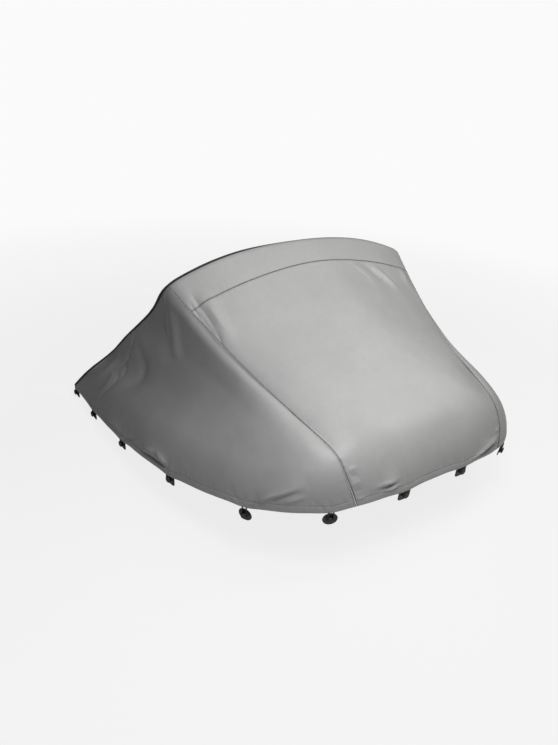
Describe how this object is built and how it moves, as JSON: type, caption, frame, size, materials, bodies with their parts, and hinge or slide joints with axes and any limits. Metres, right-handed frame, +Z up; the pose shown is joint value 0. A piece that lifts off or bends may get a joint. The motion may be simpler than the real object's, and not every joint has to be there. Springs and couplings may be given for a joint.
{
  "type": "boat bow cover with lashing studs and cord loops",
  "caption": "Fitted bow cover for an inflatable boat, stretched from a hoop down over the bow, its hem held by elastic cord loops on rubber studs.",
  "frame": {"origin": "in the plane of the hoop, on the centre line, at the inner face of the cloth under the crown of the rear edge, where the hoop holds the cover up", "axes": "the bow points to -Y, +X is port, +Z is up"},
  "size_m": [1.7146, 1.6969, 0.943],
  "materials": {
    "grey_cloth": "polyester cloth with a smooth coating, satin sheen",
    "binding_tape": "black woven binding tape, matt",
    "elastic_cord": "black braided sheath, matt",
    "stud_rubber": "moulded black rubber, satin"
  },
  "bodies": {
    "root": {"panel_front": "grey_cloth", "panel_hoop_band": "grey_cloth", "panel_side_port": "grey_cloth", "panel_side_starboard": "grey_cloth", "binding_rear_edge": "binding_tape", "cord_loop_port_bow_inner": "elastic_cord", "cord_loop_port_bow_corner": "elastic_cord", "cord_loop_port_shoulder": "elastic_cord", "cord_loop_port_forward": "elastic_cord", "cord_loop_port_middle": "elastic_cord", "cord_loop_port_aft": "elastic_cord", "cord_loop_port_corner": "elastic_cord", "cord_loop_starboard_bow_inner": "elastic_cord", "cord_loop_starboard_bow_corner": "elastic_cord", "cord_loop_starboard_shoulder": "elastic_cord", "cord_loop_starboard_forward": "elastic_cord", "cord_loop_starboard_middle": "elastic_cord", "cord_loop_starboard_aft": "elastic_cord", "cord_loop_starboard_corner": "elastic_cord", "lashing_stud_port_bow_inner": "stud_rubber", "lashing_stud_port_bow_corner": "stud_rubber", "lashing_stud_port_shoulder": "stud_rubber", "lashing_stud_port_forward": "stud_rubber", "lashing_stud_port_middle": "stud_rubber", "lashing_stud_port_aft": "stud_rubber", "lashing_stud_port_corner": "stud_rubber", "lashing_stud_starboard_bow_inner": "stud_rubber", "lashing_stud_starboard_bow_corner": "stud_rubber", "lashing_stud_starboard_shoulder": "stud_rubber", "lashing_stud_starboard_forward": "stud_rubber", "lashing_stud_starboard_middle": "stud_rubber", "lashing_stud_starboard_aft": "stud_rubber", "lashing_stud_starboard_corner": "stud_rubber"}
  },
  "joints": []
}
